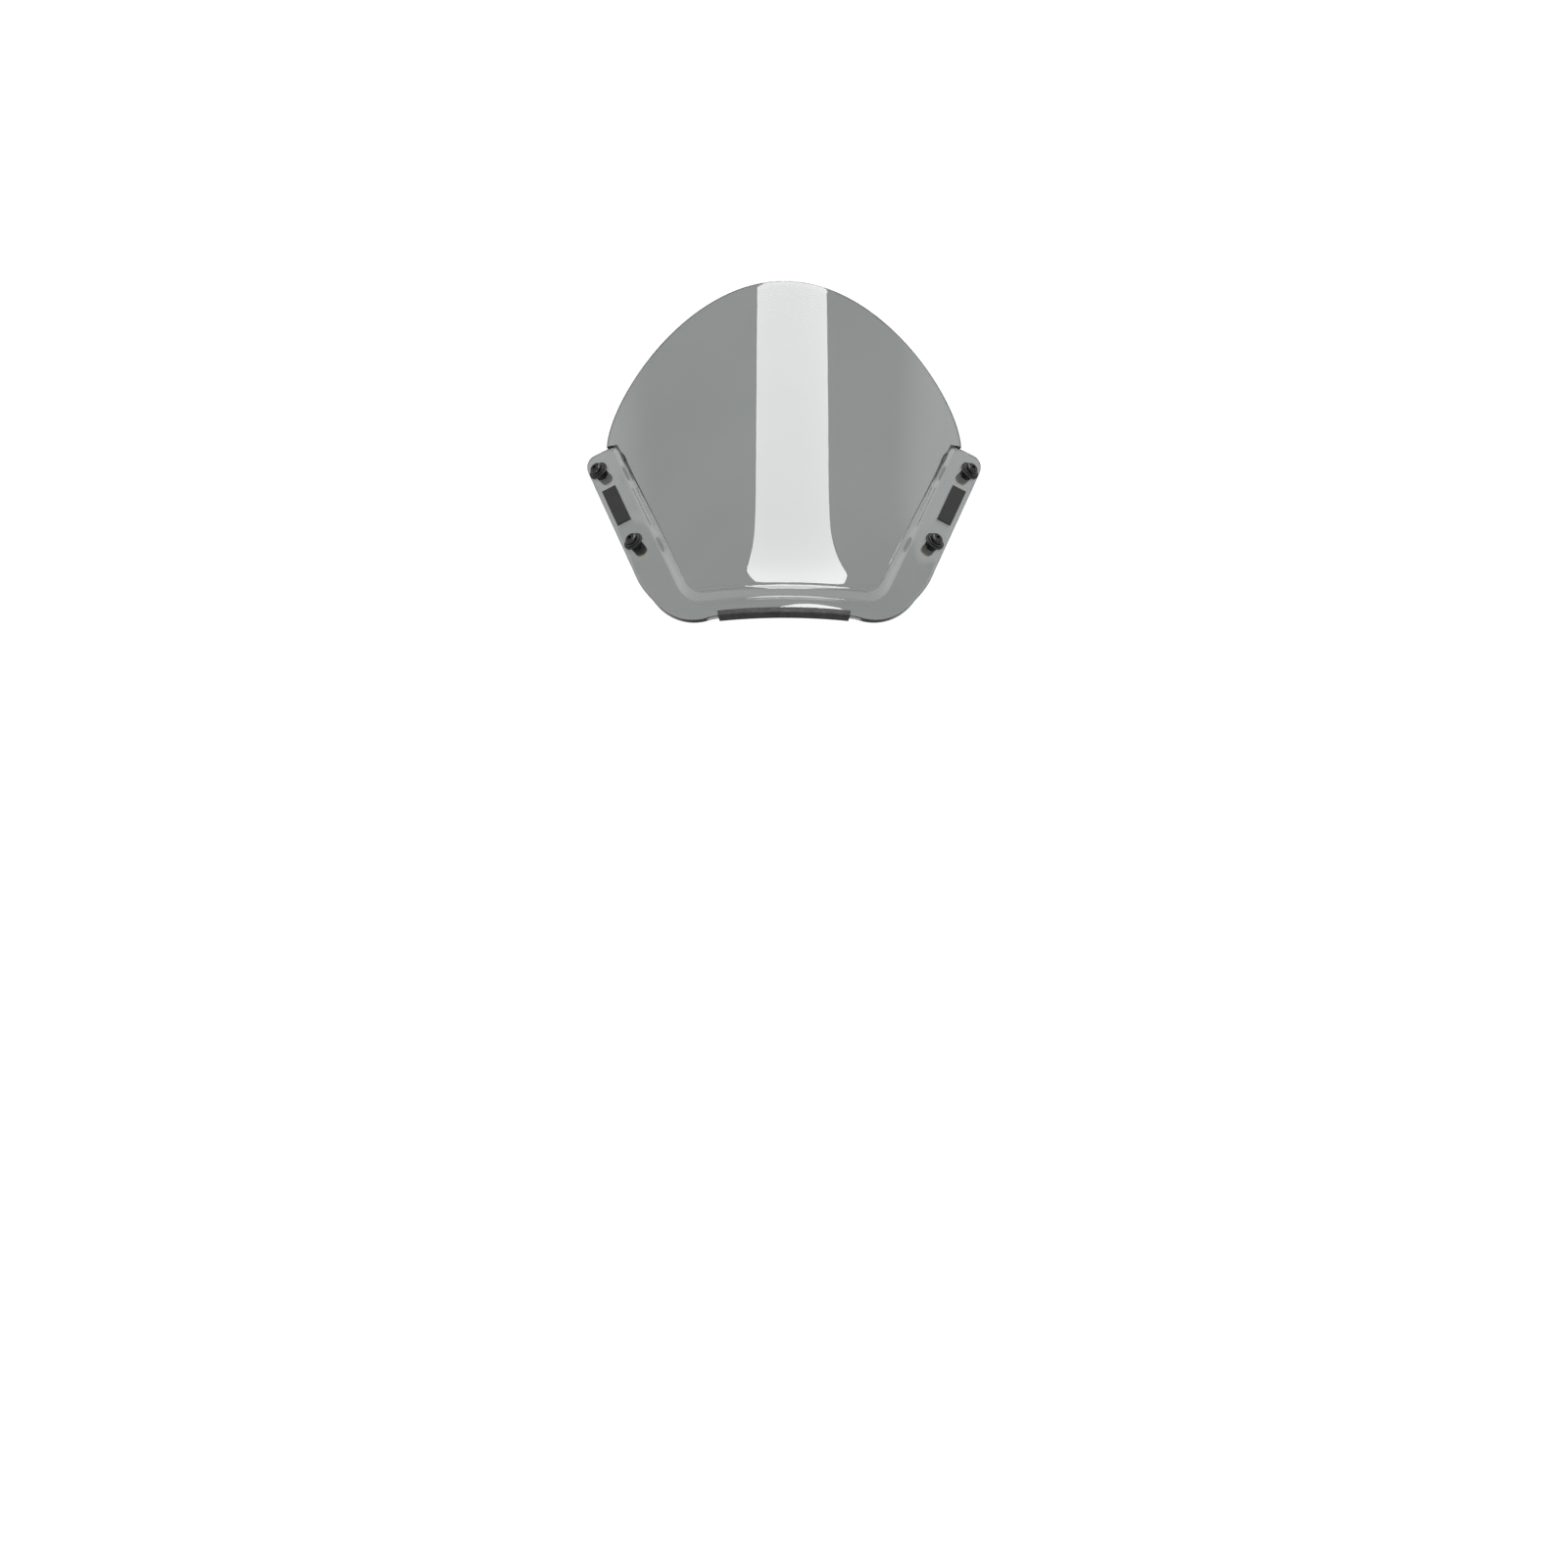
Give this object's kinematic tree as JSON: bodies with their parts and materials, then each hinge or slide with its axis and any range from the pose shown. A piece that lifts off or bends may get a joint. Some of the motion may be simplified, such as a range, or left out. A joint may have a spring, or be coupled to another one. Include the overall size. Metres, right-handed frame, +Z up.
{
  "type": "windshield screen",
  "caption": "Smoked clear acrylic windshield bubble for a sport motorcycle, with a stepped flange that tucks under the cowl, edge trim, damper pads and screwed well-nut fixings.",
  "frame": {"origin": "middle of the flat seat on the outer face of the lower lip, on the plane of symmetry", "axes": "+X to one side, +Y rearward towards the rider, +Z up, with the screen leaning back as it stands on the motorcycle"},
  "size_m": [0.2942, 0.2696, 0.2462],
  "materials": {
    "smoke_acrylic": "polished",
    "black_rubber": "matte",
    "black_foam": "matte",
    "black_nylon": "satin",
    "brass": "satin",
    "black_steel": "satin"
  },
  "bodies": {
    "screen": {"windshield_screen": "smoke_acrylic", "lower_edge_trim": "black_rubber", "damper_pad_left": "black_foam", "damper_pad_right": "black_foam", "well_nut_rubber_upper_left": "black_rubber", "well_nut_insert_upper_left": "brass", "well_nut_rubber_lower_left": "black_rubber", "well_nut_insert_lower_left": "brass", "well_nut_rubber_upper_right": "black_rubber", "well_nut_insert_upper_right": "brass", "well_nut_rubber_lower_right": "black_rubber", "well_nut_insert_lower_right": "brass"},
    "washer_upper_left": {"washer_upper_left": "black_nylon"},
    "screw_upper_left": {"screw_upper_left": "black_steel"},
    "washer_lower_left": {"washer_lower_left": "black_nylon"},
    "screw_lower_left": {"screw_lower_left": "black_steel"},
    "washer_upper_right": {"washer_upper_right": "black_nylon"},
    "screw_upper_right": {"screw_upper_right": "black_steel"},
    "washer_lower_right": {"washer_lower_right": "black_nylon"},
    "screw_lower_right": {"screw_lower_right": "black_steel"}
  },
  "joints": [
    {"name": "screw_travel_upper_left", "type": "slide", "parent": "screen", "child": "washer_upper_left", "axis": [-0.5726, -0.5547, 0.6037], "range_m": [0, 0.0064]},
    {"name": "screw_turn_upper_left", "type": "hinge", "parent": "washer_upper_left", "child": "screw_upper_left", "pos_m": [-0.13764, 0.1942, 0.08953], "axis": [-0.5726, -0.5547, 0.6037], "range_deg": [0, 2880]},
    {"name": "screw_travel_lower_left", "type": "slide", "parent": "screen", "child": "washer_lower_left", "axis": [-0.5147, -0.5641, 0.6457], "range_m": [0, 0.0064]},
    {"name": "screw_turn_lower_left", "type": "hinge", "parent": "washer_lower_left", "child": "screw_lower_left", "pos_m": [-0.1099, 0.1129, 0.03973], "axis": [-0.5147, -0.5641, 0.6457], "range_deg": [0, 2880]},
    {"name": "screw_travel_upper_right", "type": "slide", "parent": "screen", "child": "washer_upper_right", "axis": [0.5726, -0.5547, 0.6037], "range_m": [0, 0.0064]},
    {"name": "screw_turn_upper_right", "type": "hinge", "parent": "washer_upper_right", "child": "screw_upper_right", "pos_m": [0.13764, 0.1942, 0.08953], "axis": [0.5726, -0.5547, 0.6037], "range_deg": [0, 2880]},
    {"name": "screw_travel_lower_right", "type": "slide", "parent": "screen", "child": "washer_lower_right", "axis": [0.5147, -0.5641, 0.6457], "range_m": [0, 0.0064]},
    {"name": "screw_turn_lower_right", "type": "hinge", "parent": "washer_lower_right", "child": "screw_lower_right", "pos_m": [0.1099, 0.1129, 0.03973], "axis": [0.5147, -0.5641, 0.6457], "range_deg": [0, 2880]}
  ],
  "couplings": [
    {"joint": "screw_turn_upper_left", "follows": "screw_travel_upper_left", "rad_per_m": 7854},
    {"joint": "screw_turn_lower_left", "follows": "screw_travel_lower_left", "rad_per_m": 7854},
    {"joint": "screw_turn_upper_right", "follows": "screw_travel_upper_right", "rad_per_m": 7854},
    {"joint": "screw_turn_lower_right", "follows": "screw_travel_lower_right", "rad_per_m": 7854}
  ]
}
